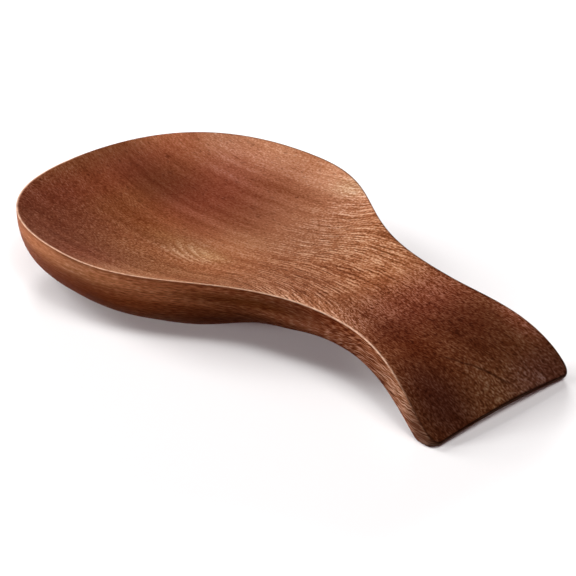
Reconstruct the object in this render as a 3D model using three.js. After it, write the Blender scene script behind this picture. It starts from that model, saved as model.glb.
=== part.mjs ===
import * as THREE from "three";
import { mergeVertices } from "three/addons/utils/BufferGeometryUtils.js";

// A spoon rest carved from one piece of wood. Millimetres, +Z up, the bowl's tip towards -X.

// Lengths along the part, from the bowl's tip to the handle's end
const TIP_TO_WIDEST = 70;
const WIDEST_TO_NECK = 108;
const NECK_TO_END = 52;

// Full widths of the rim
const BOWL_WIDTH = 133;
const NECK_WIDTH = 55.5;
const END_WIDTH = 74;

// How far each curve of the rim, seen from above, keeps to its tangent
const TIP_TANGENT = 47;
const BOWL_FRONT_TANGENT = 43.5;
const BOWL_BACK_TANGENT = 44;
const NECK_FRONT_TANGENT = 54.5;
const NECK_BACK_TANGENT = 19.5;
const FLARE_TANGENT = 11;
const FLARE_ANGLE_DEG = -3;
const END_CORNER = 4;

// The rim's height over the table, level round the bowl and falling along the handle
const RIM_HEIGHT = 29;
const LEVEL_RIM_LENGTH = 77;
const FALL_START_TANGENT = 114;
const FALL_END_TANGENT = 36.5;
const FALL_END_ANGLE_DEG = 44;
const END_EDGE_HEIGHT = 2.2;
const END_CROWN = 1.8;

// The hollow of the bowl, below the rim
const DISH_DEPTH = 16;
const DISH_FLOOR_START = 58;
const DISH_FLOOR_LENGTH = 18;
const NECK_DISH_DEPTH = 1.5;

// The outer wall, from the rim in to the foot
const TIP_WALL_RUN = 25.5;
const BOWL_WALL_RUN = 35;
const HANDLE_WALL_RUN = 1.2;
const END_UNDERCUT = 3.2;
const WALL_NARROWS_PAST_WIDEST = 31.5;
const WALL_NARROW_BEFORE_NECK = 23;
const WALL_ROUNDNESS = 2.37;
const RIM_ROUNDING = 1.2;

// The arch under the neck, between the bowl's foot and the handle's end
const FOOT_PAST_WIDEST = 15;
const ARCH_CREST_BEFORE_NECK = 11.5;
const ARCH_HEIGHT = 16.2;
const ARCH_FOOT_TANGENT = 30.5;
const ARCH_FRONT_TANGENT = 37;
const ARCH_BACK_TANGENT = 20.5;
const ARCH_END_TANGENT = 15;
const ARCH_END_ANGLE_DEG = 34.5;
const END_CONTACT = 10;

// Where the cross lines meet the middle line near the handle's end
const FLARE_FAN = 17;
const END_FAN = 13;

// Mesh steps along the rim and across it
const TIP_STEPS = 16;
const SHOULDER_STEPS = 14;
const HANDLE_STEPS = 14;
const CORNER_STEPS = 3;
const END_STEPS = 4;
const DISH_ROWS = 7;
const ROUNDING_ROWS = 3;
const WALL_ROWS = 7;
const UNDER_ROWS = 4;

const WOOD_COLOUR = 0x8c5034;
const WOOD_ROUGHNESS = 0.5;

const neckX = TIP_TO_WIDEST + WIDEST_TO_NECK;
const length = neckX + NECK_TO_END;
const bowlHalf = BOWL_WIDTH / 2;
const neckHalf = NECK_WIDTH / 2;
const endHalf = END_WIDTH / 2;

function point(x, y) {
  return new THREE.Vector2(x, y);
}

function radians(degrees) {
  return THREE.MathUtils.degToRad(degrees);
}

function cubic(start, startControl, endControl, end) {
  return new THREE.CubicBezierCurve(start, startControl, endControl, end);
}

// Half of the rim seen from above, from the tip round to the middle of the handle's end
const flareX = length - END_CORNER;
const flare = radians(FLARE_ANGLE_DEG);
const tipCurve = cubic(
  point(0, 0),
  point(0, TIP_TANGENT),
  point(TIP_TO_WIDEST - BOWL_FRONT_TANGENT, bowlHalf),
  point(TIP_TO_WIDEST, bowlHalf),
);
const shoulderCurve = cubic(
  point(TIP_TO_WIDEST, bowlHalf),
  point(TIP_TO_WIDEST + BOWL_BACK_TANGENT, bowlHalf),
  point(neckX - NECK_FRONT_TANGENT, neckHalf),
  point(neckX, neckHalf),
);
const handleCurve = cubic(
  point(neckX, neckHalf),
  point(neckX + NECK_BACK_TANGENT, neckHalf),
  point(flareX - FLARE_TANGENT * Math.cos(flare), endHalf - FLARE_TANGENT * Math.sin(flare)),
  point(flareX, endHalf),
);
const cornerCurve = new THREE.QuadraticBezierCurve(
  point(flareX, endHalf),
  point(length, endHalf + END_CORNER * Math.tan(flare)),
  point(length, endHalf - END_CORNER),
);
const endLine = new THREE.LineCurve(point(length, endHalf - END_CORNER), point(length, 0));

// Side views: the rim's height and the underside's height along the part
const fall = radians(FALL_END_ANGLE_DEG);
const rimFall = cubic(
  point(LEVEL_RIM_LENGTH, RIM_HEIGHT),
  point(LEVEL_RIM_LENGTH + FALL_START_TANGENT, RIM_HEIGHT),
  point(length - FALL_END_TANGENT * Math.cos(fall), END_EDGE_HEIGHT + FALL_END_TANGENT * Math.sin(fall)),
  point(length, END_EDGE_HEIGHT),
);
const footBackX = TIP_TO_WIDEST + FOOT_PAST_WIDEST;
const archCrestX = neckX - ARCH_CREST_BEFORE_NECK;
const contactX = length - END_CONTACT;
const landing = radians(ARCH_END_ANGLE_DEG);
const archRise = cubic(
  point(footBackX, 0),
  point(footBackX + ARCH_FOOT_TANGENT, 0),
  point(archCrestX - ARCH_FRONT_TANGENT, ARCH_HEIGHT),
  point(archCrestX, ARCH_HEIGHT),
);
const archFall = cubic(
  point(archCrestX, ARCH_HEIGHT),
  point(archCrestX + ARCH_BACK_TANGENT, ARCH_HEIGHT),
  point(contactX - ARCH_END_TANGENT * Math.cos(landing), ARCH_END_TANGENT * Math.sin(landing)),
  point(contactX, 0),
);

// Height of a side-view curve at x, found by halving; beyond its ends it stays level.
function heightAt(curve, x) {
  let low = 0;
  let high = 1;
  for (let step = 0; step < 40; step += 1) {
    const middle = (low + high) / 2;
    if (curve.getPoint(middle).x < x) {
      low = middle;
    } else {
      high = middle;
    }
  }
  return curve.getPoint((low + high) / 2).y;
}

function blend(x, from, to) {
  return THREE.MathUtils.smoothstep(x, from, to);
}

// The handle's end is a little higher in the middle than at its two corners.
function crownAt(x, y) {
  const across = Math.min(1, Math.abs(y) / endHalf);
  return END_CROWN * blend(x, neckX, length) * (1 - across * across);
}

function rimHeight(x, y) {
  return heightAt(rimFall, x) + crownAt(x, y);
}

function underHeight(x, y) {
  const curve = x < archCrestX ? archRise : archFall;
  return heightAt(curve, x) + crownAt(x, y);
}

// Depth of the hollow on the middle line
function dishDepth(x) {
  const floorEnd = DISH_FLOOR_START + DISH_FLOOR_LENGTH;
  const atNeck = DISH_DEPTH + (NECK_DISH_DEPTH - DISH_DEPTH) * blend(x, floorEnd, neckX);
  return atNeck * (1 - blend(x, neckX, length));
}

// How far in from the rim the wall reaches the underside
function wallRun(x) {
  const bowlRun = TIP_WALL_RUN + (BOWL_WALL_RUN - TIP_WALL_RUN) * blend(x, 0, TIP_TO_WIDEST);
  const narrowsFrom = TIP_TO_WIDEST + WALL_NARROWS_PAST_WIDEST;
  const narrowTo = neckX - WALL_NARROW_BEFORE_NECK;
  const handleRun = bowlRun + (HANDLE_WALL_RUN - bowlRun) * blend(x, narrowsFrom, narrowTo);
  return handleRun + (END_UNDERCUT - HANDLE_WALL_RUN) * blend(x, flareX, length);
}

// A station holds one point of the rim, its foot on the underside and its place on the middle line.
function station(curve, share, spineX, onMiddleLine) {
  const rim = curve.getPoint(share);
  const tangent = curve.getTangent(share);
  const run = wallRun(rim.x);
  const foot = point(rim.x + run * tangent.y, rim.y - run * tangent.x);
  if (onMiddleLine) {
    rim.y = 0;
    foot.y = 0;
  }
  return { rim, foot, spine: point(spineX, 0) };
}

function stations() {
  const floorEnd = DISH_FLOOR_START + DISH_FLOOR_LENGTH;
  const stretches = [
    [tipCurve, TIP_STEPS, DISH_FLOOR_START, floorEnd],
    [shoulderCurve, SHOULDER_STEPS, floorEnd, neckX],
    [handleCurve, HANDLE_STEPS, neckX, length - FLARE_FAN],
    [cornerCurve, CORNER_STEPS, length - FLARE_FAN, length - (FLARE_FAN + END_FAN) / 2],
    [endLine, END_STEPS, length - (FLARE_FAN + END_FAN) / 2, length - END_FAN],
  ];
  const made = [station(tipCurve, 0, DISH_FLOOR_START, true)];
  for (const [curve, steps, spineStart, spineEnd] of stretches) {
    for (let step = 1; step <= steps; step += 1) {
      const share = step / steps;
      const last = curve === endLine && step === steps;
      made.push(station(curve, share, THREE.MathUtils.lerp(spineStart, spineEnd, share), last));
    }
  }
  return made;
}

// A point of the hollow: share 0 on the middle line, 1 on the rim
function dishPoint(at, share) {
  const flat = at.spine.clone().lerp(at.rim, share);
  const height = rimHeight(flat.x, flat.y) - dishDepth(at.spine.x) * (1 - share * share);
  return new THREE.Vector3(flat.x, flat.y, height);
}

// A point of the wall, a quarter of a rounded ellipse: angle 0 at the foot, a right angle at the rim
function wallPoint(at, angle) {
  const out = Math.sin(angle) ** (2 / WALL_ROUNDNESS);
  const up = 1 - Math.cos(angle) ** (2 / WALL_ROUNDNESS);
  const flat = at.foot.clone().lerp(at.rim, out);
  const low = underHeight(at.foot.x, at.foot.y);
  const high = rimHeight(at.rim.x, at.rim.y);
  return new THREE.Vector3(flat.x, flat.y, low + (high - low) * up);
}

// A point of the underside: share 0 on the middle line, 1 at the foot of the wall
function underPoint(at, share) {
  const flat = at.spine.clone().lerp(at.foot, share);
  return new THREE.Vector3(flat.x, flat.y, underHeight(flat.x, flat.y));
}

// One cross line of the body, from the hollow's middle over the rim to the middle of the underside
function crossLine(at) {
  const wallHeight = rimHeight(at.rim.x, at.rim.y) - underHeight(at.foot.x, at.foot.y);
  const rounding = Math.min(RIM_ROUNDING, wallHeight / 3);
  const dishShare = 1 - rounding / at.spine.distanceTo(at.rim);
  const wallAngle = Math.acos((rounding / wallHeight) ** (WALL_ROUNDNESS / 2));
  const edge = new THREE.QuadraticBezierCurve3(
    dishPoint(at, dishShare),
    dishPoint(at, 1),
    wallPoint(at, wallAngle),
  );
  const line = [];
  for (let row = 0; row < DISH_ROWS; row += 1) {
    line.push(dishPoint(at, (dishShare * row) / DISH_ROWS));
  }
  for (let row = 0; row < ROUNDING_ROWS; row += 1) {
    line.push(edge.getPoint(row / ROUNDING_ROWS));
  }
  for (let row = 0; row < WALL_ROWS; row += 1) {
    line.push(wallPoint(at, wallAngle * (1 - row / WALL_ROWS)));
  }
  for (let row = 0; row <= UNDER_ROWS; row += 1) {
    line.push(underPoint(at, 1 - row / UNDER_ROWS));
  }
  return line;
}

// The whole skin: each four-sided patch of one half, and its mirror image on the other side
function bodyGeometry() {
  const lines = stations().map(crossLine);
  const corners = [];
  const addTriangle = (a, b, c) => {
    corners.push(a.x, a.y, a.z, b.x, b.y, b.z, c.x, c.y, c.z);
    corners.push(a.x, -a.y, a.z, c.x, -c.y, c.z, b.x, -b.y, b.z);
  };
  for (let i = 0; i + 1 < lines.length; i += 1) {
    for (let row = 0; row + 1 < lines[i].length; row += 1) {
      const [near, far] = [lines[i], lines[i + 1]];
      addTriangle(near[row], far[row], far[row + 1]);
      addTriangle(near[row], far[row + 1], near[row + 1]);
    }
  }
  const skin = new THREE.BufferGeometry();
  skin.setAttribute("position", new THREE.Float32BufferAttribute(corners, 3));
  skin.translate(-length / 2, 0, 0);
  const closed = mergeVertices(skin, 1e-4);
  closed.computeVertexNormals();
  return closed;
}

const wood = new THREE.MeshStandardMaterial({
  color: WOOD_COLOUR,
  roughness: WOOD_ROUGHNESS,
  metalness: 0,
});
const body = new THREE.Mesh(bodyGeometry(), wood);
body.name = "spoon_rest_body";

const spoonRest = new THREE.Group();
spoonRest.name = "spoon_rest";
spoonRest.add(body);

export default spoonRest;
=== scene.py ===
"""Spoon rest carved from one block of oiled hardwood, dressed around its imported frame."""

from __future__ import annotations

import logging
import math
from dataclasses import dataclass
from enum import Enum

import bpy
import numpy as np
from bpy.types import ID, Material, Mesh, Node, NodeSocket, NodeTree, Object
from mathutils import Matrix, Vector


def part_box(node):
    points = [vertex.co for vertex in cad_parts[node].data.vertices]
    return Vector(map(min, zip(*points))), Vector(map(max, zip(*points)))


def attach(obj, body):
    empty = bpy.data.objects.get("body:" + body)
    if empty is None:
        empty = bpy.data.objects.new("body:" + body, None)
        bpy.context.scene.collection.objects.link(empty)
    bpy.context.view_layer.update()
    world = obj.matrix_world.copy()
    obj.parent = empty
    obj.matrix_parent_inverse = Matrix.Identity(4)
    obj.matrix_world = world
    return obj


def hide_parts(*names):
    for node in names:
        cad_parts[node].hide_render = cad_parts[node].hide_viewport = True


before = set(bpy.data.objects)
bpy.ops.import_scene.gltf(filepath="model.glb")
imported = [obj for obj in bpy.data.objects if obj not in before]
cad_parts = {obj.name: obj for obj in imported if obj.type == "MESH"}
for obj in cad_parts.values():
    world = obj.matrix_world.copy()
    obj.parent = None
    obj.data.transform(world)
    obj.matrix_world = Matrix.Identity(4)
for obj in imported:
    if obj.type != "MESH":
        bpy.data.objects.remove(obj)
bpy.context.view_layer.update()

LOG = logging.getLogger("spoon_rest")
MM_PER_METRE = 1000.0
WALL_LANE = 0.2
CURVE_SAMPLES = 4001

Colour = tuple[float, float, float]
Span = tuple[float, float]
Pair = tuple[float, float]
WHITE: Colour = (1.0, 1.0, 1.0)


class Strip(Enum):
    """Strips of a cross line, from the hollow's middle to the underside's, with their rows."""

    HOLLOW = 52
    EDGE = 10
    WALL = 36
    UNDERSIDE = 20


class Side(Enum):
    """The two mirrored halves of the body, by the sign of their Y."""

    FAR = 1.0
    NEAR = -1.0


def smooth(value: np.ndarray, low: float, high: float) -> np.ndarray:
    """Ease from 0 at low to 1 at high: 3s squared minus 2s cubed of the clamped share s."""
    share = np.clip((value - low) / (high - low), 0.0, 1.0)
    return share * share * (3.0 - 2.0 * share)


def added(name: str, data: ID) -> Object:
    """A new object of the scene, around its mesh, lamp or camera."""
    bpy.context.scene.collection.objects.link(thing := bpy.data.objects.new(name, data))
    return thing


def opaque(colour: Colour) -> tuple[float, float, float, float]:
    """The colour with full opacity, as a colour socket takes it."""
    return (*colour, 1.0)


@dataclass(frozen=True)
class Bezier:
    """A plane Bezier curve of two, three or four control points."""

    points: tuple[Pair, ...]

    def at(self, share: np.ndarray) -> np.ndarray:
        """Bernstein sum of the control points.

        Args:
            share: places on the curve, 0 at its start and 1 at its end.

        Returns:
            One row (first, second coordinate) for each share.
        """
        degree = len(self.points) - 1
        power = np.arange(degree + 1)
        choose = np.array([math.comb(degree, k) for k in power], dtype=float)
        s = np.asarray(share, dtype=float)[:, None]
        return (choose * s**power * (1.0 - s) ** (degree - power)) @ np.array(self.points)

    def direction(self, share: np.ndarray) -> np.ndarray:
        """Unit tangents: the Bezier of the control points' differences, made one long."""
        way = Bezier(tuple(map(tuple, np.diff(np.array(self.points), axis=0)))).at(share)
        return way / np.linalg.norm(way, axis=1, keepdims=True)

    def height(self, along: np.ndarray) -> np.ndarray:
        """Second coordinate where the first one is along, level past the curve's ends."""
        line = self.at(np.linspace(0.0, 1.0, CURVE_SAMPLES))
        return np.interp(along, line[:, 0], line[:, 1])


@dataclass(frozen=True)
class HalfSkin:
    """The far half of the skin over (station, row)."""

    points: np.ndarray
    edge_gap: np.ndarray
    outer: np.ndarray
    lane: np.ndarray


@dataclass
class SpoonRestBody:
    """Bowl, neck and handle in one piece. Lengths in metres, counted from the bowl's tip."""

    length: float = 0.230
    widest: float = 0.070
    neck: float = 0.178
    bowl_half: float = 0.0665
    neck_half: float = 0.02775
    end_half: float = 0.037
    tip_tangent: float = 0.047
    bowl_front_tangent: float = 0.0435
    bowl_back_tangent: float = 0.044
    neck_front_tangent: float = 0.0545
    neck_back_tangent: float = 0.0195
    flare_tangent: float = 0.011
    flare_angle: float = math.radians(-3.0)
    end_corner: float = 0.004
    rim_height: float = 0.029
    level_rim: float = 0.077
    fall_start_tangent: float = 0.114
    fall_end_tangent: float = 0.0365
    fall_end_angle: float = math.radians(44.0)
    end_edge_height: float = 0.0022
    end_crown: float = 0.0018
    dish_depth: float = 0.016
    dish_floor_start: float = 0.058
    dish_floor_end: float = 0.076
    neck_dish_depth: float = 0.0015
    tip_wall_run: float = 0.0255
    bowl_wall_run: float = 0.035
    handle_wall_run: float = 0.0012
    end_undercut: float = 0.0032
    wall_narrows: float = 0.1015
    wall_narrow: float = 0.155
    wall_roundness: float = 2.37
    rim_rounding: float = 0.0007
    rounding_limit: float = 1.0 / 3.0
    hollow_crowding: float = 1.6
    foot_back: float = 0.085
    arch_crest: float = 0.1665
    arch_height: float = 0.0162
    arch_foot_tangent: float = 0.0305
    arch_front_tangent: float = 0.037
    arch_back_tangent: float = 0.0205
    arch_end_tangent: float = 0.015
    arch_end_angle: float = math.radians(34.5)
    end_contact: float = 0.220
    fan_start: float = 0.213
    fan_middle: float = 0.215
    fan_end: float = 0.217
    rim_steps: tuple[int, ...] = (76, 70, 50, 12, 26)
    # Widths of the rim band for the near edge's painted highlight and the far edge's painted shade,
    # and where the far band widens.
    edge_band_in: float = 0.00045
    edge_band_out: float = 0.00025
    far_shade_band_in: float = 0.0010
    far_shade_start: float = 0.125
    far_shade_full: float = 0.142

    def rim_curves(self) -> list[tuple[Bezier, int, float, float]]:
        """Half of the rim from above: tip, shoulder, handle, corner and end, each one Bezier.

        Returns:
            For each stretch its curve, its steps, and where its cross lines start and stop on
            the middle line.
        """
        flare_x = self.length - self.end_corner
        run, rise = math.cos(self.flare_angle), math.sin(self.flare_angle)
        wide, narrow = (self.widest, self.bowl_half), (self.neck, self.neck_half)
        flare, end = (flare_x, self.end_half), (self.length, self.end_half - self.end_corner)
        curves = (
            Bezier((
                (0.0, 0.0), (0.0, self.tip_tangent),
                (self.widest - self.bowl_front_tangent, self.bowl_half), wide,
            )),
            Bezier((
                wide, (self.widest + self.bowl_back_tangent, self.bowl_half),
                (self.neck - self.neck_front_tangent, self.neck_half), narrow,
            )),
            Bezier((
                narrow, (self.neck + self.neck_back_tangent, self.neck_half),
                (flare_x - self.flare_tangent * run, self.end_half - self.flare_tangent * rise),
                flare,
            )),
            Bezier((flare, (self.length, self.end_half + self.end_corner * rise / run), end)),
            Bezier((end, (self.length, 0.0))),
        )
        middles = (
            self.dish_floor_start, self.dish_floor_end, self.neck,
            self.fan_start, self.fan_middle, self.fan_end,
        )
        return list(zip(curves, self.rim_steps, middles, middles[1:]))

    def crown(self, plan: np.ndarray) -> np.ndarray:
        """Extra height of the handle's middle: a parabola across it, growing from the neck."""
        across = np.minimum(1.0, np.abs(plan[..., 1]) / self.end_half)
        return self.end_crown * smooth(plan[..., 0], self.neck, self.length) * (1.0 - across**2)

    def rim_level(self, plan: np.ndarray) -> np.ndarray:
        """Height of the rim surface: level round the bowl, then one curve down to the end.

        Args:
            plan: points seen from above.

        Returns:
            Heights over the table.
        """
        run, drop = math.cos(self.fall_end_angle), math.sin(self.fall_end_angle)
        fall = Bezier((
            (self.level_rim, self.rim_height),
            (self.level_rim + self.fall_start_tangent, self.rim_height),
            (self.length - self.fall_end_tangent * run,
             self.end_edge_height + self.fall_end_tangent * drop),
            (self.length, self.end_edge_height),
        ))
        return fall.height(plan[..., 0]) + self.crown(plan)

    def under_level(self, plan: np.ndarray) -> np.ndarray:
        """Height of the underside: flat foot, an arch under the neck, flat at the handle's end.

        Args:
            plan: points seen from above.

        Returns:
            Heights over the table.
        """
        run, drop = math.cos(self.arch_end_angle), math.sin(self.arch_end_angle)
        rise = Bezier((
            (self.foot_back, 0.0), (self.foot_back + self.arch_foot_tangent, 0.0),
            (self.arch_crest - self.arch_front_tangent, self.arch_height),
            (self.arch_crest, self.arch_height),
        ))
        land = Bezier((
            (self.arch_crest, self.arch_height),
            (self.arch_crest + self.arch_back_tangent, self.arch_height),
            (self.end_contact - self.arch_end_tangent * run, self.arch_end_tangent * drop),
            (self.end_contact, 0.0),
        ))
        x = plan[..., 0]
        arch = np.where(x < self.arch_crest, rise.height(x), land.height(x))
        return arch + self.crown(plan)

    def hollow_depth(self, x: np.ndarray) -> np.ndarray:
        """Depth of the hollow on the middle line, easing from the bowl to the neck and the end."""
        rise = (self.neck_dish_depth - self.dish_depth) * smooth(x, self.dish_floor_end, self.neck)
        return (self.dish_depth + rise) * (1.0 - smooth(x, self.neck, self.length))

    def wall_run(self, x: np.ndarray) -> np.ndarray:
        """How far in from the rim the wall meets the underside: wide at the bowl, thin at the neck.

        Args:
            x: places of the rim along the part.

        Returns:
            Runs, square to the rim.
        """
        grow = smooth(x, 0.0, self.widest)
        bowl = self.tip_wall_run + (self.bowl_wall_run - self.tip_wall_run) * grow
        thin = smooth(x, self.wall_narrows, self.wall_narrow)
        undercut = smooth(x, self.length - self.end_corner, self.length)
        return (
            bowl + (self.handle_wall_run - bowl) * thin
            + (self.end_undercut - self.handle_wall_run) * undercut
        )

    def stations(self) -> tuple[np.ndarray, np.ndarray, np.ndarray]:
        """Where each cross line meets the rim, the foot of the wall and the middle line.

        Returns:
            Plan points of the rim, of the foot and of the middle line, one row per cross line.
        """
        rims, ways, spines = [], [], []
        for number, (curve, steps, start, stop) in enumerate(self.rim_curves()):
            share = np.linspace(0.0, 1.0, steps + 1)[(0 if number == 0 else 1):]
            rims.append(curve.at(share))
            ways.append(curve.direction(share))
            spines.append(start + (stop - start) * share)
        rim, way = np.concatenate(rims), np.concatenate(ways)
        inward = np.stack([way[:, 1], -way[:, 0]], axis=1)
        foot = rim + self.wall_run(rim[:, 0])[:, None] * inward
        rim[[0, -1], 1] = 0.0
        foot[[0, -1], 1] = 0.0
        spine_x = np.concatenate(spines)
        return rim, foot, np.stack([spine_x, np.zeros_like(spine_x)], axis=1)

    def half_skin(self) -> HalfSkin:
        """The far half of the skin over (station, row).

        A row in the hollow lies at a share of the way from the middle line to the rim, lower than
        the rim surface by the depth times one minus the share squared. The rows crowd towards the
        rim. The edge is a quadratic Bezier over the rim, at most a third of the wall high. The
        wall is a quarter of a rounded ellipse from the rim down to its foot, and the underside
        runs straight back to the middle line.

        The lane is where the grain lies across the piece: the distance from the middle line in
        the hollow, and past the rim WALL_LANE plus the way down the wall and in under the foot.

        Returns:
            Points, shaped (stations, rows, 3), how far each lies from the rim's edge, whether it
            lies outside of the edge, and its lane.
        """
        rim, foot, spine = (part[:, None, :] for part in self.stations())
        rim_z = self.rim_level(rim)
        foot_z = self.under_level(foot)
        depth = self.hollow_depth(spine[..., 0])
        reach = np.linalg.norm(rim - spine, axis=2)
        wall_height = rim_z - foot_z
        rounding = np.minimum(self.rim_rounding, wall_height * self.rounding_limit)
        edge_share = 1.0 - rounding / reach
        edge_angle = np.arccos((rounding / wall_height) ** (self.wall_roundness / 2.0))

        def lifted(plan: np.ndarray, level: np.ndarray) -> np.ndarray:
            """Points of the plan at their heights."""
            return np.concatenate([plan, level[..., None]], axis=2)

        def hollow(share: np.ndarray) -> np.ndarray:
            """Points of the hollow at shares of the way from the middle line to the rim."""
            plan = spine + (rim - spine) * share[..., None]
            return lifted(plan, self.rim_level(plan) - depth * (1.0 - share**2))

        def wall(angle: np.ndarray) -> np.ndarray:
            """Points of the wall, angle 0 at its foot and a right angle at the rim."""
            out, down = (wave(angle) ** (2.0 / self.wall_roundness) for wave in (np.sin, np.cos))
            return lifted(foot + (rim - foot) * out[..., None], foot_z + wall_height * (1.0 - down))

        def underside(share: np.ndarray) -> np.ndarray:
            """Points of the underside at shares of the way from the middle line to the foot."""
            plan = spine + (foot - spine) * share[..., None]
            return lifted(plan, self.under_level(plan))

        def steps(strip: Strip) -> np.ndarray:
            """Even shares of a strip's rows, from 0 up to just short of 1."""
            return (np.arange(strip.value) / strip.value)[None, :]

        start, turn, stop = hollow(edge_share), hollow(np.ones_like(reach)), wall(edge_angle)

        def edge(share: np.ndarray | float) -> np.ndarray:
            """Points of the edge at shares of the way from the hollow over the rim to the wall."""
            back = 1.0 - share
            return back**2 * start + 2.0 * share * back * turn + share**2 * stop

        denser_out = 1.0 - (1.0 - steps(Strip.HOLLOW)) ** self.hollow_crowding
        skin = np.concatenate([
            hollow(edge_share * denser_out),
            edge(steps(Strip.EDGE)[..., None]),
            wall(edge_angle * (1.0 - steps(Strip.WALL))),
            underside(1.0 - np.concatenate([steps(Strip.UNDERSIDE), [[1.0]]], axis=1)),
        ], axis=1)
        gap = np.linalg.norm(skin - edge(0.5), axis=2)
        row = np.arange(skin.shape[1])[None, :]
        outer = row >= Strip.HOLLOW.value + Strip.EDGE.value // 2
        under = row >= Strip.HOLLOW.value + Strip.EDGE.value + Strip.WALL.value
        inward = np.linalg.norm(skin[..., :2] - foot, axis=2) * under
        lane = np.where(outer, WALL_LANE + rim_z - skin[..., 2] + inward, skin[..., 1])
        return HalfSkin(skin, gap, outer, lane)

    def edge_nearness(self, half: HalfSkin, side: Side) -> np.ndarray:
        """How near each point lies to the rim's edge: a bell over its distance from the edge.

        Args:
            half: the far half of the skin.
            side: the half that it is for; past the bowl the far edge's band of painted shade is
                wider.

        Returns:
            Shares from 0 to 1, shaped (stations, rows).
        """
        past_bowl = smooth(half.points[..., 0], self.far_shade_start, self.far_shade_full)
        wider = self.far_shade_band_in if side is Side.FAR else self.edge_band_in
        inner = self.edge_band_in + (wider - self.edge_band_in) * past_bowl
        reach = np.where(half.outer, self.edge_band_out, inner)
        return np.exp(-((half.edge_gap / reach) ** 2))

    def mesh(self) -> Mesh:
        """Both halves of the skin, welded along the middle line, kept inside the CAD node's box.

        Returns:
            A closed mesh of four-sided faces with the point attributes rim_edge and grain_lane.
        """
        skin = self.half_skin()
        half, lane = skin.points.copy(), skin.lane
        stations, rows = lane.shape
        far = np.arange(stations * rows).reshape(stations, rows)
        on_middle = np.zeros((stations, rows), dtype=bool)
        on_middle[[0, -1], :] = True
        on_middle[:, [0, -1]] = True
        half[on_middle, 1] = 0.0
        near = far.copy()
        near[~on_middle] = far.size + np.arange(np.count_nonzero(~on_middle))

        mirror = np.array([1.0, Side.NEAR.value, 1.0])
        points = np.concatenate([half.reshape(-1, 3), half[~on_middle] * mirror])
        points[:, 0] -= self.length / 2.0
        low, high = (np.array(corner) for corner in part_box("spoon_rest_body"))
        points = np.clip(points, low, high)

        def patches(index: np.ndarray, order: tuple[int, ...]) -> np.ndarray:
            """Four-sided patches of a grid, their corners in the given order."""
            corners = [index[:-1, :-1], index[1:, :-1], index[1:, 1:], index[:-1, 1:]]
            return np.stack([corners[k] for k in order], axis=-1).reshape(-1, 4)

        faces = np.concatenate([patches(far, (0, 1, 2, 3)), patches(near, (3, 2, 1, 0))])
        mesh = bpy.data.meshes.new("carved_body")
        mesh.from_pydata(points.tolist(), [], faces.tolist())
        mesh.polygons.foreach_set("use_smooth", np.ones(len(faces), dtype=bool))
        mirrored = np.where(lane < WALL_LANE / 2.0, -lane, lane)
        edges = [self.edge_nearness(skin, side) for side in Side]
        for name, far_half, near_half in (("rim_edge", *edges), ("grain_lane", lane, mirrored)):
            values = np.concatenate([far_half.ravel(), near_half[~on_middle]])
            mesh.attributes.new(name, "FLOAT", "POINT").data.foreach_set("value", values)
        mesh.validate()
        mesh.update()
        return mesh

    def build(self, finish: OiledWood) -> Object:
        """Make the piece, dress it, and let it stand for the CAD body.

        Args:
            finish: the wood that it is carved from.

        Returns:
            The finished object.
        """
        piece = added("carved_spoon_rest", self.mesh())
        piece.data.materials.append(finish.material())
        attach(piece, "root")
        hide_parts("spoon_rest_body")
        return piece


class Wire:
    """A shader value that takes part in arithmetic; each operation adds one Math node."""

    def __init__(self, graph: Graph, socket: NodeSocket) -> None:
        """Keep the node graph and the output socket."""
        self.graph = graph
        self.socket = socket

    def __add__(self, other: Wire | float) -> Wire:
        """Sum."""
        return self.graph.math("ADD", self, other)

    __radd__ = __add__

    def __sub__(self, other: Wire | float) -> Wire:
        """Difference."""
        return self.graph.math("SUBTRACT", self, other)

    def __rsub__(self, other: float) -> Wire:
        """Difference from a number."""
        return self.graph.math("SUBTRACT", other, self)

    def __mul__(self, other: Wire | float) -> Wire:
        """Product."""
        return self.graph.math("MULTIPLY", self, other)

    __rmul__ = __mul__

    def __truediv__(self, other: Wire | float) -> Wire:
        """Quotient."""
        return self.graph.math("DIVIDE", self, other)

    def fraction(self) -> Wire:
        """Part after the whole number."""
        return self.graph.math("FRACT", self)

    def turned(self, low: float, high: float) -> Wire:
        """Sum of a slope along the way: 0 up to low, growing evenly to 1 at high, 1 past it."""
        first, second = (self.graph.math("MAXIMUM", self - end, 0.0) for end in (low, high))
        return (first * first - second * second) / (2.0 * (high - low))

    def eased(self, low: float, high: float) -> Wire:
        """Smooth step from 0 at low to 1 at high."""
        settings, span = {"interpolation_type": "SMOOTHSTEP"}, {"From Min": low, "From Max": high}
        return self.graph.wire("Result", "ShaderNodeMapRange", settings, {"Value": self, **span})


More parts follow.
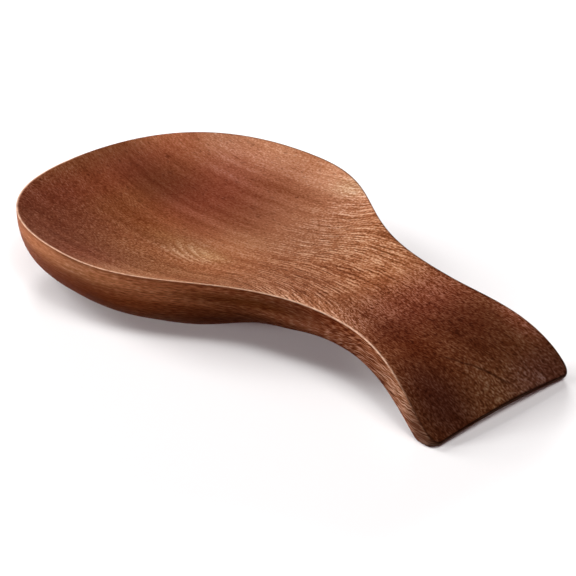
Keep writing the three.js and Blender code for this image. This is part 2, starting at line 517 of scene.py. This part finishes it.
class Graph:
    """The node tree of one material or of the world, with short ways to add nodes to it."""

    MIX_IN = (0, 6, 7)
    MIX_OUT = 2
    SEEN_RAYS = ("Is Camera Ray", "Is Glossy Ray", "Is Transmission Ray")

    def __init__(self, tree: NodeTree) -> None:
        """Start from an empty tree."""
        tree.nodes.clear()
        self.tree = tree

    def node(
        self, kind: str, settings: dict[str, object] | None = None,
        sockets: dict[str | int, object] | None = None,
    ) -> Node:
        """Add one node.

        Args:
            kind: the node's type.
            settings: properties, set first; stops are a ramp's (place, colour) pairs.
            sockets: values or links of the input sockets, by name or number.

        Returns:
            The node.
        """
        node = self.tree.nodes.new(kind)
        for key, setting in (settings or {}).items():
            if key == "stops":
                ramp = node.color_ramp
                while len(ramp.elements) < len(setting):
                    ramp.elements.new(0.5)
                for element, (place, colour) in zip(ramp.elements, setting):
                    element.position = place
                    element.color = opaque(colour)
            else:
                setattr(node, key, setting)
        for key, value in (sockets or {}).items():
            if isinstance(value, Wire):
                value = value.socket
            if isinstance(value, NodeSocket):
                self.tree.links.new(value, node.inputs[key])
            else:
                node.inputs[key].default_value = value
        return node

    def output(self, name: str | int, kind: str, *inputs: dict | None) -> NodeSocket:
        """An output of a new node."""
        return self.node(kind, *inputs).outputs[name]

    def wire(self, name: str | int, kind: str, *inputs: dict | None) -> Wire:
        """An output of a new node that is a number."""
        return Wire(self, self.output(name, kind, *inputs))

    def math(self, operation: str, *values: Wire | float) -> Wire:
        """Result of one Math node on its inputs in order."""
        return self.wire(0, "ShaderNodeMath", {"operation": operation}, dict(enumerate(values)))

    def vector(self, operation: str, *values: object) -> NodeSocket:
        """Result of one Vector Math node on its inputs in order, links or triples."""
        node = self.node("ShaderNodeVectorMath", {"operation": operation}, dict(enumerate(values)))
        return node.outputs["Vector"]

    def length(self, vector: NodeSocket) -> Wire:
        """The length of a vector."""
        return self.wire("Value", "ShaderNodeVectorMath", {"operation": "LENGTH"}, {0: vector})

    def mix(
        self, blend: str, share: Wire | float, first: object, second: object,
    ) -> NodeSocket:
        """Colour of one Mix node; its sockets go by number because their names repeat."""
        settings, inputs = {"data_type": "RGBA", "blend_type": blend}, (share, first, second)
        return self.output(self.MIX_OUT, "ShaderNodeMix", settings, dict(zip(self.MIX_IN, inputs)))

    def noise(
        self, place: tuple[Wire | float, ...], octaves: float = 1.0, scale: float = 1.0,
    ) -> Wire:
        """Soft noise from 0 to 1 at the place that three numbers give."""
        sockets = {"Vector": self.joined(*place), "Scale": scale, "Detail": octaves}
        return self.wire("Fac", "ShaderNodeTexNoise", None, sockets)

    def parts(self, vector: NodeSocket) -> tuple[Wire, Wire, Wire]:
        """The three numbers of a vector."""
        node = self.node("ShaderNodeSeparateXYZ", None, {"Vector": vector})
        return tuple(Wire(self, node.outputs[name]) for name in "XYZ")

    def joined(self, *numbers: Wire | float) -> NodeSocket:
        """The vector of three numbers."""
        return self.output("Vector", "ShaderNodeCombineXYZ", None, dict(enumerate(numbers)))

    def attribute(self, name: str) -> Wire:
        """A number that the mesh carries at its points."""
        return self.wire("Fac", "ShaderNodeAttribute", {"attribute_name": name})

    def white_for_camera(self) -> Wire:
        """1 for rays from the camera, mirrors and glass, 0 for the light that surfaces share."""
        camera, *others = (self.wire(ray, "ShaderNodeLightPath") for ray in self.SEEN_RAYS)
        return self.math("MINIMUM", sum(others, camera), 1.0)


@dataclass(frozen=True)
class WoodPlan:
    """Shader values at a point of the skin: its place in millimetres, its zones and its grain."""

    graph: Graph
    x: Wire
    y: Wire
    lane: Wire
    outside: Wire
    inside: Wire
    bowl: Wire
    neck: Wire
    crest: Wire
    handle: Wire
    side: Wire
    curl: Wire
    flow: Wire
    depth: Wire


@dataclass(frozen=True)
class GrainFlow:
    """How the grain runs over the skin, and where the zones of its figure lie, in millimetres.

    A zone eases in or out over a span. A pace is a noise's pace along the piece and across it.
    """

    wall_in: Span = (-30.0, -20.0)
    bowl_out: Span = (-30.0, 0.0)
    neck_in: Span = (-32.0, 8.0)
    neck_out: Span = (38.0, 66.0)
    crest_in: Span = (34.0, 60.0)
    crest_out: Span = (66.0, 96.0)
    crest_loss: float = 0.4
    handle_in: Span = (38.0, 58.0)
    side_in: Span = (42.0, 72.0)
    level_top: float = 27.0
    fan_rate: float = 0.009
    lean: float = 0.05
    neck_turn: Span = (-5.0, 25.0)
    neck_slope: float = 0.27
    end_turn: Span = (55.0, 90.0)
    end_slope: float = 0.5
    sway_pace: Pair = (0.012, 0.022)
    sway_octaves: float = 1.5
    sway_width: float = 5.0
    curl_pace: Pair = (0.22, 0.30)
    curl_layer: float = 3.0
    curl_width: float = 0.8
    side_curl: float = 1.0
    depth_rate: float = 0.25

    def plan(self, graph: Graph) -> WoodPlan:
        """Lay the grain out on Object coordinates and on the skin's own lane.

        Fibres run along X, turn a little at the neck and the end, sway and curl, and fan out
        over the handle. On the handle's side they lie level.

        Args:
            graph: the wood's nodes.

        Returns:
            Place, zones and grain.
        """
        place = graph.output("Object", "ShaderNodeTexCoord")
        to_mm = {"Vector": place, "Scale": (MM_PER_METRE,) * 3}
        x, y, z = graph.parts(graph.output("Vector", "ShaderNodeMapping", None, to_mm))
        lane = graph.attribute("grain_lane") * MM_PER_METRE
        wall_lane = WALL_LANE * MM_PER_METRE
        outside = lane.eased(*(wall_lane + before for before in self.wall_in))
        inside = 1.0 - outside
        side = outside * x.eased(*self.side_in)
        past_crest = x.eased(*self.crest_out) * self.crest_loss

        strip = (lane - outside * wall_lane) * (1.0 - side) + (self.level_top - z) * side
        fan = 1.0 + graph.math("MAXIMUM", x, 0.0) * inside * self.fan_rate
        bend = (
            x * self.lean - x.turned(*self.neck_turn) * self.neck_slope
            + x.turned(*self.end_turn) * self.end_slope
        )
        along, across = self.sway_pace
        sway = graph.noise((x * along, strip * across, z * across), self.sway_octaves) - 0.5
        along, across = self.curl_pace
        curl = graph.noise((x * along, strip * across, self.curl_layer)) - 0.5
        flow = (
            (strip - bend * inside) / fan + sway * self.sway_width
            + curl * (self.curl_width + side * self.side_curl)
        )
        return WoodPlan(
            graph, x, y, lane, outside, inside,
            bowl=inside * (1.0 - x.eased(*self.bowl_out)),
            neck=inside * x.eased(*self.neck_in) * (1.0 - x.eased(*self.neck_out)),
            crest=inside * x.eased(*self.crest_in) * (1.0 - past_crest),
            handle=inside * x.eased(*self.handle_in),
            side=side, curl=curl, flow=flow, depth=z * inside * self.depth_rate,
        )


@dataclass(frozen=True)
class GrainNoise:
    """Noise drawn out along the grain: its pace along the piece, start, fineness and octaves.

    On the outside the pace drops, and on the handle's side it grows and the noise gets finer.
    """

    pace: float
    start: float
    scale: float
    octaves: float
    wall_drop: float = 0.0
    side_rise: float = 0.0
    side_finer: float = 0.0

    def value(self, plan: WoodPlan) -> Wire:
        """The noise around 0.

        Args:
            plan: the grain.

        Returns:
            The noise less one half.
        """
        pace = self.pace - plan.outside * self.wall_drop + plan.side * self.side_rise
        across = plan.flow * (1.0 + plan.side * self.side_finer)
        place = (plan.x * pace + self.start, across, plan.depth)
        return plan.graph.noise(place, self.octaves, self.scale) - 0.5


@dataclass(frozen=True)
class NeckStrokes:
    """Thin strokes that follow the grain of the neck and break here and there, in millimetres."""

    spacing: float = 1.4
    flank: Span = (0.05, 0.40)
    slip_pace: Pair = (0.05, 0.30)
    slip_layer: float = 7.0
    slip: float = 2.0
    break_pace: Pair = (0.12, 0.6)
    break_start: float = 9.0
    break_layer: float = 3.0
    break_octaves: float = 0.0
    unbroken: Span = (0.36, 0.55)

    def value(self, plan: WoodPlan) -> Wire:
        """Lines of even spacing across the grain that slip sideways along it.

        Args:
            plan: the grain.

        Returns:
            Strokes around 0, fading out beyond the neck.
        """
        graph = plan.graph
        along, across = self.slip_pace
        slip = graph.noise((plan.x * along, plan.flow * across, self.slip_layer))
        wave = (plan.flow / self.spacing + slip * self.slip).fraction() - 0.5
        along, across = self.break_pace
        place = (plan.x * along + self.break_start, plan.flow * across, self.break_layer)
        whole = graph.noise(place, self.break_octaves).eased(*self.unbroken)
        return (graph.math("ABSOLUTE", wave).eased(*self.flank) - 0.5) * whole * plan.neck


@dataclass(frozen=True)
class HollowArcs:
    """Growth layers cut into arcs on the near side of the hollow's floor, in millimetres."""

    middle: Pair = (-20.0, -2.4)
    stretch: float = 2.8
    spacing: float = 2.4
    ragged: float = 0.7
    rise: Span = (0.20, 0.60)
    fall: Span = (0.60, 1.0)
    first: Span = (4.0, 8.0)
    last: Span = (14.0, 21.0)
    near_side: Span = (-8.0, -1.0)
    tip_side: Span = (-56.0, -42.0)
    neck_side: Span = (-36.0, -18.0)

    def value(self, plan: WoodPlan, flecks: Wire) -> Wire:
        """Rings of even spacing round the middle, stretched along the piece.

        Args:
            plan: the grain.
            flecks: what makes the rings ragged.

        Returns:
            Arcs from 0 to 1.
        """
        x, flow = plan.x, plan.flow
        around = plan.graph.joined((x - self.middle[0]) / self.stretch, flow - self.middle[1], 0.0)
        radius = plan.graph.length(around)
        ring = (radius / self.spacing + flecks * self.ragged).fraction()
        shown = (
            plan.inside * radius.eased(*self.first) * (1.0 - radius.eased(*self.last))
            * (1.0 - flow.eased(*self.near_side))
            * x.eased(*self.tip_side) * (1.0 - x.eased(*self.neck_side))
        )
        return (ring.eased(*self.rise) - ring.eased(*self.fall)) * shown


@dataclass(frozen=True)
class WoodFigure:
    """Shader values of the figure: pores and arcs from 0 to 1, the others around 0."""

    flecks: Wire
    streaks: Wire
    strokes: Wire
    ribbons: Wire
    pores: Wire
    arcs: Wire


@dataclass(frozen=True)
class FigureGains:
    """How much each part of the figure changes the wood's tone, and where it shows more or less."""

    mean: float = 0.5
    neck_flecks: float = 0.3
    crest_flecks: float = 1.0
    near_bowl_flecks: float = 0.45
    near_bowl_out: Span = (-40.0, 0.0)
    far_bowl_loss: float = 0.35
    far_bowl_in: Span = (-15.0, 15.0)
    wall_flecks: float = 0.65
    wall_flecks_in: Span = (-50.0, 20.0)
    wall_loss: float = 0.55
    streaks: float = 0.3
    bowl_streak_loss: float = 0.15
    neck_streaks: float = 0.4
    side_streaks: float = 2.1
    strokes: float = 0.37
    ribbons: float = 0.5
    arcs: float = 0.23

    def tone(self, plan: WoodPlan, figure: WoodFigure) -> Wire:
        """Sum of the figure's parts, each by its gain in the zone.

        Args:
            plan: the zones.
            figure: the figure.

        Returns:
            Tone, about 0 dark and 1 pale.
        """
        lane = plan.lane
        bowl_flecks = (
            (1.0 - lane.eased(*self.near_bowl_out)) * self.near_bowl_flecks
            - lane.eased(*self.far_bowl_in) * self.far_bowl_loss
        )
        wall_flecks = plan.x.eased(*self.wall_flecks_in) * self.wall_flecks - self.wall_loss
        flecks = (
            1.0 + plan.neck * self.neck_flecks + plan.crest * self.crest_flecks
            + plan.bowl * bowl_flecks + plan.outside * (1.0 - plan.side) * wall_flecks
        )
        streaks = (
            self.streaks - plan.bowl * self.bowl_streak_loss
            + plan.neck * self.neck_streaks + plan.side * self.side_streaks
        )
        return (
            self.mean + figure.flecks * flecks + figure.streaks * streaks
            + figure.strokes * self.strokes + figure.ribbons * self.ribbons
            + figure.arcs * self.arcs
        )


@dataclass(frozen=True)
class WoodAndShadeCloud:
    """A soft cloud of tint on the sheet of length and lane, in millimetres; the clouds carry both
    other-coloured wood and painted light and shade.

    Half of it is left at its reach, and soft says how gradually it fades there.
    """

    middle: Pair
    reach: Pair
    tint: Colour
    soft: float = 0.8

    def share(self, graph: Graph, sheet: NodeSocket) -> Wire:
        """How much of the cloud shows: a smooth step down over the distance in reaches.

        Args:
            graph: the wood's nodes.
            sheet: the place on the sheet.

        Returns:
            A share from 0 to 1.
        """
        away = graph.vector("SUBTRACT", sheet, (*self.middle, 0.0))
        reaches = graph.length(graph.vector("DIVIDE", away, (*self.reach, 1.0)))
        return 1.0 - reaches.eased(1.0 - self.soft, 1.0 + self.soft)


@dataclass(frozen=True)
class GrainVein:
    """A thin dark vein between two points on the sheet of length and lane, in millimetres."""

    start: Pair
    end: Pair
    width: float
    wander: float = 1.5
    start_fade: Span = (-3.0, 3.0)
    end_fade: Span = (-5.0, 1.0)

    def share(self, plan: WoodPlan) -> Wire:
        """How much of the vein shows: near its line, between its ends, bent a little by the curl.

        Args:
            plan: the grain.

        Returns:
            A share from 0 to 1.
        """
        run, rise = (b - a for a, b in zip(self.start, self.end))
        length = math.hypot(run, rise)
        run, rise = run / length, rise / length
        from_x, from_lane = plan.x - self.start[0], plan.lane - self.start[1]
        off = plan.graph.math("ABSOLUTE", from_x * rise - from_lane * run + plan.curl * self.wander)
        along = from_x * run + from_lane * rise
        ends = along.eased(*self.start_fade) * (1.0 - (along - length).eased(*self.end_fade))
        return (1.0 - off.eased(0.0, self.width)) * ends


@dataclass(frozen=True)
class RimWearAndPaintedLight:
    """The rim's edge: pale and patchy on the near side, painted highlight with some rubbing; dark
    with painted shade elsewhere.
    """

    near_out: Span = (-10.0, 4.0)
    end_in: Span = (80.0, 113.0)
    pace: float = 0.30
    layer: float = 5.0
    octaves: float = 2.0
    patch: Span = (0.35, 0.62)
    least: float = 0.55
    most: float = 0.9

    def near(self, plan: WoodPlan) -> Wire:
        """1 on the near side, 0 on the far side and at the handle's end."""
        return (1.0 - plan.y.eased(*self.near_out)) * (1.0 - plan.x.eased(*self.end_in))

    def paleness(self, plan: WoodPlan) -> Wire:
        """How pale the near edge's painted highlight and rubbing is, from 0 to 1, patch by patch
        along the piece.
        """
        noise = plan.graph.noise((plan.x * self.pace, self.layer, 0.0), self.octaves)
        return (self.least + noise.eased(*self.patch) * (1.0 - self.least)) * self.most


@dataclass(frozen=True)
class OiledWood:
    """Red-brown hardwood rubbed with oil: its figure, clouds of heartwood and painted light and
    shade, and edges with painted highlight, some rubbing and painted shade.
    """

    dark: Colour = (0.142, 0.035, 0.010)
    red: Colour = (0.277, 0.082, 0.030)
    brown: Colour = (0.405, 0.146, 0.062)
    tan: Colour = (0.728, 0.395, 0.229)
    tones: tuple[float, ...] = (0.15, 0.38, 0.55, 0.90)
    # Pale colour of the near edge: painted highlight, with some rubbing.
    worn_and_highlight: Colour = (0.950, 0.620, 0.440)
    # Painted shade for the far rim's edge and the handle's end.
    painted_edge_shade: Colour = (0.34, 0.27, 0.24)
    pore: Colour = (0.40, 0.32, 0.28)
    pore_share: float = 0.45
    pore_in: Span = (0.16, 0.30)
    flecks: GrainNoise = GrainNoise(pace=0.42, start=0.0, scale=2.1, octaves=2.0, wall_drop=0.24)
    dashes: GrainNoise = GrainNoise(pace=0.24, start=13.0, scale=3.2, octaves=1.5)
    streaks: GrainNoise = GrainNoise(
        pace=0.11, start=40.0, scale=1.25, octaves=0.5,
        wall_drop=0.05, side_rise=0.06, side_finer=0.9,
    )
    ribbons: GrainNoise = GrainNoise(pace=0.05, start=17.0, scale=0.22, octaves=2.0)
    pores: GrainNoise = GrainNoise(pace=0.40, start=31.0, scale=1.1, octaves=0.0)
    strokes: NeckStrokes = NeckStrokes()
    arcs: HollowArcs = HollowArcs()
    flow: GrainFlow = GrainFlow()
    gains: FigureGains = FigureGains()
    rim_wear_and_painted_light: RimWearAndPaintedLight = RimWearAndPaintedLight()
    fleck_relief: float = 1.4
    relief_strength: float = 0.3
    relief_depth: float = 0.0003
    roughness: float = 0.50
    pore_roughness: float = 0.2
    fleck_gloss: float = 0.3
    mirror_level: float = 0.012
    edge_coat: float = 0.3
    coat_roughness: float = 0.35
    # The clouds mix the wood's own changes of colour with painted light and shade: a painted
    # highlight high on the outer wall, painted shade low on it and just under the rim, and painted
    # shade on the handle's end.
    clouds: tuple[WoodAndShadeCloud, ...] = tuple(WoodAndShadeCloud(*row) for row in (
        ((-101.1, -9.5), (9.5, 45.2), (0.90, 0.68, 0.74)),
        ((-84.1, -46.2), (19.8, 35.2), (0.58, 0.41, 0.42)),
        ((-53.6, -56.5), (17.4, 20.1), (0.61, 0.45, 0.48)),
        ((-79.6, -5.7), (20.5, 11.1), (1.75, 2.02, 1.89)),
        ((-62.8, -7.9), (32.6, 9.3), (0.47, 0.34, 0.26)),
        ((-88.7, 21.8), (13.3, 19.4), (0.71, 0.68, 0.58)),
        ((-103.7, 37.8), (22.6, 12.3), (1.80, 2.10, 2.23)),
        ((-76.0, 58.4), (18.8, 13.6), (1.69, 2.34, 2.85)),
        ((-73.4, 28.8), (31.3, 33.7), (0.58, 0.40, 0.47)),
        ((-24.4, 35.2), (27.7, 27.6), (0.76, 0.79, 0.91)),
        ((-7.2, 57.5), (37.0, 9.3), (1.47, 1.85, 2.25)),
        ((-15.0, 56.5), (9.0, 5.0), (1.04, 1.26, 1.30)),
        ((-42.7, -9.2), (17.8, 5.7), (1.56, 2.15, 2.52)),
        ((-20.6, -34.9), (43.0, 13.6), (0.74, 0.73, 0.69)),
        ((8.3, 5.3), (25.6, 25.2), (0.69, 0.66, 0.66)),
        ((8.1, 29.2), (30.7, 16.1), (1.17, 1.37, 1.53)),
        ((34.1, -21.9), (34.5, 20.3), (0.86, 0.84, 0.88)),
        ((66.9, 6.3), (14.4, 31.1), (0.66, 0.48, 0.52)),
        ((58.7, -30.5), (27.9, 8.4), (1.68, 2.01, 2.32)),
        # Darker handle end: painted shade along with darker wood.
        ((113.5, 1.0), (45.0, 97.0), (0.72, 0.60, 0.55), 0.08),
        ((87.9, 12.0), (10.6, 15.1), (0.51, 0.39, 0.35)),
        ((114.7, 3.0), (9.4, 14.8), (1.65, 2.08, 2.34)),
        ((114.7, 22.7), (7.0, 13.6), (1.28, 1.47, 2.23)),
        ((105.0, -24.6), (13.1, 9.7), (0.53, 0.45, 0.56)),
        ((84.2, -17.3), (15.3, 13.1), (0.57, 0.40, 0.32)),
        ((93.0, 35.6), (9.1, 7.6), (1.97, 2.07, 2.75)),
        ((0.0, 230.0), (400.0, 70.0), (0.73, 0.64, 0.71), 0.20),
        # Painted highlight high on the outer wall.
        ((-56.5, 203.8), (26.4, 4.0), (1.92, 2.33, 2.32)),
        # Painted highlight high on the outer wall.
        ((-0.7, 205.1), (24.7, 12.4), (3.35, 3.47, 3.15)),
        # Painted shade low on the outer wall.
        ((13.9, 217.3), (24.6, 6.7), (0.35, 0.25, 0.18)),
        ((60.2, 201.3), (23.5, 3.1), (0.87, 0.66, 0.50)),
        ((37.6, 207.0), (17.0, 2.4), (1.76, 1.82, 1.91)),
        ((101.9, 199.8), (25.8, 8.2), (1.30, 1.72, 1.90)),
        ((107.7, 203.2), (6.1, 6.8), (0.42, 0.36, 0.35)),
        ((23.5, 205.8), (22.6, 2.9), (0.36, 0.28, 0.18)),
        ((84.1, 210.2), (5.4, 4.7), (0.77, 0.72, 0.66)),
        ((-16.7, -58.1), (19.7, 7.7), (1.02, 1.12, 1.22)),
        ((-28.8, 12.1), (13.2, 6.5), (1.07, 1.19, 1.25)),
        ((-46.0, -1.0), (12.0, 6.0), (1.10, 1.15, 1.16)),
        ((-29.0, -6.5), (7.5, 4.0), (1.12, 1.22, 1.20)),
        ((-41.9, 215.6), (39.7, 5.9), (0.95, 0.62, 0.34)),
        # Thin line of painted shade just under the rim.
        ((-15.0, 200.6), (62.0, 0.7), (0.72, 0.66, 0.62)),
        ((8.0, 201.6), (32.0, 1.9), (0.82, 0.76, 0.72)),
    ))
    veins: tuple[GrainVein, ...] = (GrainVein((93.7, -10.1), (112.5, 9.0), 0.7),)

    def figure(self, plan: WoodPlan) -> WoodFigure:
        """Draw the figure on the grain.

        Flecks are short, dashes are finer ones on the handle, streaks are longer, and ribbons
        are wide soft bands. Pores show mostly in the bowl.

        Args:
            plan: the grain.

        Returns:
            The figure's parts.
        """
        flecks, dashes = self.flecks.value(plan), self.dashes.value(plan)
        flecks = flecks * (1.0 - plan.handle) + dashes * plan.handle
        pores = self.pores.value(plan).eased(*self.pore_in)
        return WoodFigure(
            flecks=flecks,
            streaks=self.streaks.value(plan),
            strokes=self.strokes.value(plan),
            ribbons=self.ribbons.value(plan),
            pores=pores * plan.inside * (1.0 - plan.neck) * (1.0 - plan.crest),
            arcs=self.arcs.value(plan, flecks),
        )

    def colour(self, plan: WoodPlan, figure: WoodFigure) -> NodeSocket:
        """The tone as a colour, tinted by the clouds of wood colour and painted light and shade,
        the pores and the veins.

        Args:
            plan: the grain.
            figure: the figure.

        Returns:
            The colour before the edges get their painted highlight, rubbing and painted shade.
        """
        graph = plan.graph
        stops = tuple(zip(self.tones, (self.dark, self.red, self.brown, self.tan)))
        tone = self.gains.tone(plan, figure)
        colour = graph.output("Color", "ShaderNodeValToRGB", {"stops": stops}, {"Fac": tone})
        sheet = graph.joined(plan.x, plan.lane, 0.0)
        tints = [(cloud.share(graph, sheet), cloud.tint) for cloud in self.clouds]
        tints.append((figure.pores * self.pore_share, self.pore))
        tints.extend((vein.share(plan), self.pore) for vein in self.veins)
        for share, tint in tints:
            colour = graph.mix("MULTIPLY", share, colour, opaque(tint))
        return colour

    def material(self) -> Material:
        """The wood as a material: colour, edges with painted highlight, some rubbing and painted
        shade, relief and a little gloss.

        Returns:
            The material.
        """
        made = bpy.data.materials.new("oiled_wood")
        made.use_nodes = True
        graph = Graph(made.node_tree)
        plan = self.flow.plan(graph)
        figure = self.figure(plan)
        colour = self.colour(plan, figure)

        edge = graph.attribute("rim_edge")
        near = self.rim_wear_and_painted_light.near(plan)
        # The near edge made pale: painted highlight, with some rubbing.
        pale = edge * near * self.rim_wear_and_painted_light.paleness(plan)
        colour = graph.mix("MIX", pale, colour, opaque(self.worn_and_highlight))
        # Painted shade darkens the edge on the far side and at the handle's end.
        colour = graph.mix("MULTIPLY", edge * (1.0 - near), colour, opaque(self.painted_edge_shade))

        relief = (
            figure.flecks * self.fleck_relief + figure.strokes + figure.streaks * plan.side
            - figure.pores
        )
        bump = graph.output(
            "Normal", "ShaderNodeBump", None,
            {"Strength": self.relief_strength, "Distance": self.relief_depth, "Height": relief},
        )
        roughness = (
            self.roughness + figure.pores * self.pore_roughness - figure.flecks * self.fleck_gloss
        )
        skin = graph.output(
            "BSDF", "ShaderNodeBsdfPrincipled", None,
            {
                "Base Color": colour,
                "Roughness": roughness,
                "Specular IOR Level": self.mirror_level,
                "Coat Weight": edge * near * self.edge_coat,
                "Coat Roughness": self.coat_roughness,
                "Normal": bump,
            },
        )
        graph.node("ShaderNodeOutputMaterial", None, {"Surface": skin})
        return made


@dataclass
class StudioFloor:
    """Plain pale floor, white to the camera, that keeps the object's shadow."""

    reach: float = 4.0
    paper: Colour = (0.93, 0.93, 0.93)
    bounce: Colour = (0.07, 0.065, 0.06)
    glow: float = 0.05
    glow_tint: Colour = (1.0, 0.36, 0.38)
    white_from: float = 0.40
    white_full: float = 0.90

    def build(self) -> Object:
        """One flat sheet at the table's height.

        Returns:
            The floor.
        """
        half = self.reach / 2.0
        u, v = np.meshgrid(np.linspace(-half, half, 2), np.linspace(-half, half, 2), indexing="ij")
        points = np.stack([u, v, np.zeros_like(u)], axis=-1).reshape(-1, 3)
        mesh = bpy.data.meshes.new("studio_floor")
        mesh.from_pydata(points.tolist(), [], [(0, 2, 3, 1)])
        mesh.update()
        floor = added("studio_floor", mesh)
        mesh.materials.append(self.material())
        return floor

    def material(self) -> Material:
        """White paper with a faint glow to the camera, duller paper to the light it throws back.

        Away from the object, beyond its shadow, the camera sees plain white.

        Returns:
            The material.
        """
        made = bpy.data.materials.new("studio_paper")
        made.use_nodes = True
        graph = Graph(made.node_tree)
        seen = graph.white_for_camera()
        colour = graph.mix("MIX", seen, opaque(self.bounce), opaque(self.paper))
        sheet = graph.output("BSDF", "ShaderNodeBsdfDiffuse", None, {"Color": colour})
        place = graph.output("Object", "ShaderNodeTexCoord")
        away = graph.length(place).eased(self.white_from, self.white_full)
        for share, tint in ((seen * self.glow, self.glow_tint), (away * seen, WHITE)):
            glow = graph.output("Emission", "ShaderNodeEmission", None, {"Color": opaque(tint)})
            layers = {0: share, 1: sheet, 2: glow}
            sheet = graph.output("Shader", "ShaderNodeMixShader", None, layers)
        graph.node("ShaderNodeOutputMaterial", None, {"Surface": sheet})
        return made


class Lit(Enum):
    """What a lamp lights."""

    WOOD = "wood"
    FLOOR = "floor"


@dataclass(frozen=True)
class SoftBox:
    """A rectangular lamp: its direction in degrees, its distance and sides in metres, its watts."""

    lit: Lit
    azimuth: float
    elevation: float
    distance: float
    sides: Pair
    watts: float
    colour: Colour = WHITE


class Lamp(Enum):
    """The studio's soft boxes, four for the wood and five for the floor with its shadow."""

    LEFT_LOW = SoftBox(Lit.WOOD, 196.0, 21.0, 1.5, (0.75, 0.75), 20.5, (1.0, 0.985, 0.97))
    LEFT_HIGH = SoftBox(Lit.WOOD, 225.0, 45.0, 1.5, (0.75, 0.75), 12.5, (1.0, 0.99, 0.98))
    ABOVE = SoftBox(Lit.WOOD, 180.0, 70.0, 1.5, (0.8, 0.8), 5.0, (1.0, 0.99, 0.98))
    FRONT = SoftBox(Lit.WOOD, 258.0, 30.0, 1.5, (0.6, 0.6), 3.0, (1.0, 0.92, 0.84))
    FLOOR_OVER = SoftBox(Lit.FLOOR, 320.0, 66.0, 3.2, (1.22, 1.22), 22.5)
    FLOOR_LEFT = SoftBox(Lit.FLOOR, 200.3, 30.8, 3.2, (1.55, 1.83), 80.0)
    FLOOR_RIGHT = SoftBox(Lit.FLOOR, 352.6, 56.7, 3.2, (1.31, 1.08), 39.0)
    FLOOR_NEAR_LOW = SoftBox(Lit.FLOOR, 244.7, 9.0, 3.2, (0.93, 0.55), 112.0)
    FLOOR_BACK_LOW = SoftBox(Lit.FLOOR, 134.7, 11.2, 3.2, (1.04, 0.55), 146.0)


@dataclass
class StudioLight:
    """Even sky and a few soft boxes."""

    sky: float = 0.04
    aim: tuple[float, float, float] = (0.0, 0.0, 0.01)

    def build(self, lit: dict[Lit, Object]) -> list[Object]:
        """Hang the lamps and light the world.

        Args:
            lit: the objects that the lamps light.

        Returns:
            The lamps.
        """
        world = bpy.data.worlds.new("studio_sky")
        world.use_nodes = True
        bpy.context.scene.world = world
        graph = Graph(world.node_tree)
        strength = self.sky + graph.white_for_camera() * (1.0 - self.sky)
        light = {"Color": opaque(WHITE), "Strength": strength}
        sky = graph.output("Background", "ShaderNodeBackground", None, light)
        graph.node("ShaderNodeOutputWorld", None, {"Surface": sky})
        return [self.hang(lamp, lit) for lamp in Lamp]

    def hang(self, lamp: Lamp, lit: dict[Lit, Object]) -> Object:
        """One soft box that looks at the object.

        Args:
            lamp: which box.
            lit: the objects that the lamps light.

        Returns:
            The lamp's object.
        """
        box = lamp.value
        around, over = math.radians(box.azimuth), math.radians(box.elevation)
        away = Vector((
            math.cos(around) * math.cos(over), math.sin(around) * math.cos(over), math.sin(over),
        ))
        data = bpy.data.lights.new("soft_box_" + lamp.name.lower(), "AREA")
        data.shape = "RECTANGLE"
        data.size, data.size_y = box.sides
        data.energy = box.watts
        data.color = box.colour
        hung = added(data.name, data)
        hung.location = Vector(self.aim) + away * box.distance
        hung.rotation_euler = away.to_track_quat("Z", "Y").to_euler()
        receivers = bpy.data.collections.new(data.name + "_lights")
        receivers.objects.link(lit[box.lit])
        hung.light_linking.receiver_collection = receivers
        return hung


@dataclass
class PhotoCamera:
    """Camera at the photograph's angle: in front of the right-hand side, looking down."""

    azimuth: float = 0.79607006
    elevation: float = 0.47475673
    distance: float = 0.925838
    right_offset: float = 0.08412246
    up_offset: float = -0.03051137
    tip_x: float = -0.115
    focal_pixels: float = 2199.773
    frame_pixels: float = 576.0
    sensor: float = 36.0

    def build(self) -> Object:
        """Place the camera and make it the scene's own.

        Its right axis is level; the offsets along right and up are counted from the bowl's tip.

        Returns:
            The camera.
        """
        right = Vector((math.cos(self.azimuth), math.sin(self.azimuth), 0.0))
        level = math.cos(self.elevation)
        back = Vector((
            math.sin(self.azimuth) * level, -math.cos(self.azimuth) * level,
            math.sin(self.elevation),
        ))
        up = back.cross(right)
        data = bpy.data.cameras.new("photo_camera")
        data.sensor_width = self.sensor
        data.lens = self.focal_pixels / self.frame_pixels * self.sensor
        camera = added("photo_camera", data)
        camera.location = (
            Vector((self.tip_x, 0.0, 0.0)) + right * self.right_offset + up * self.up_offset
            + back * self.distance
        )
        camera.rotation_euler = Matrix((right, up, back)).transposed().to_euler()
        bpy.context.scene.camera = camera
        return camera


def main() -> None:
    """Build the camera, the light, the floor and the spoon rest, and report each piece."""
    logging.basicConfig(level=logging.INFO, format="%(name)s: %(message)s")
    bpy.context.scene.view_settings.view_transform = "Standard"
    camera = PhotoCamera().build()
    LOG.info("%s: lens %.1f mm", camera.name, camera.data.lens)
    floor = StudioFloor().build()
    LOG.info("%s: stage", floor.name)
    body = SpoonRestBody().build(OiledWood())
    LOG.info("%s: %d faces", body.name, len(body.data.polygons))
    for lamp in StudioLight().build({Lit.WOOD: body, Lit.FLOOR: floor}):
        LOG.info("%s: %.1f W", lamp.name, lamp.data.energy)


if __name__ == "__main__":
    main()
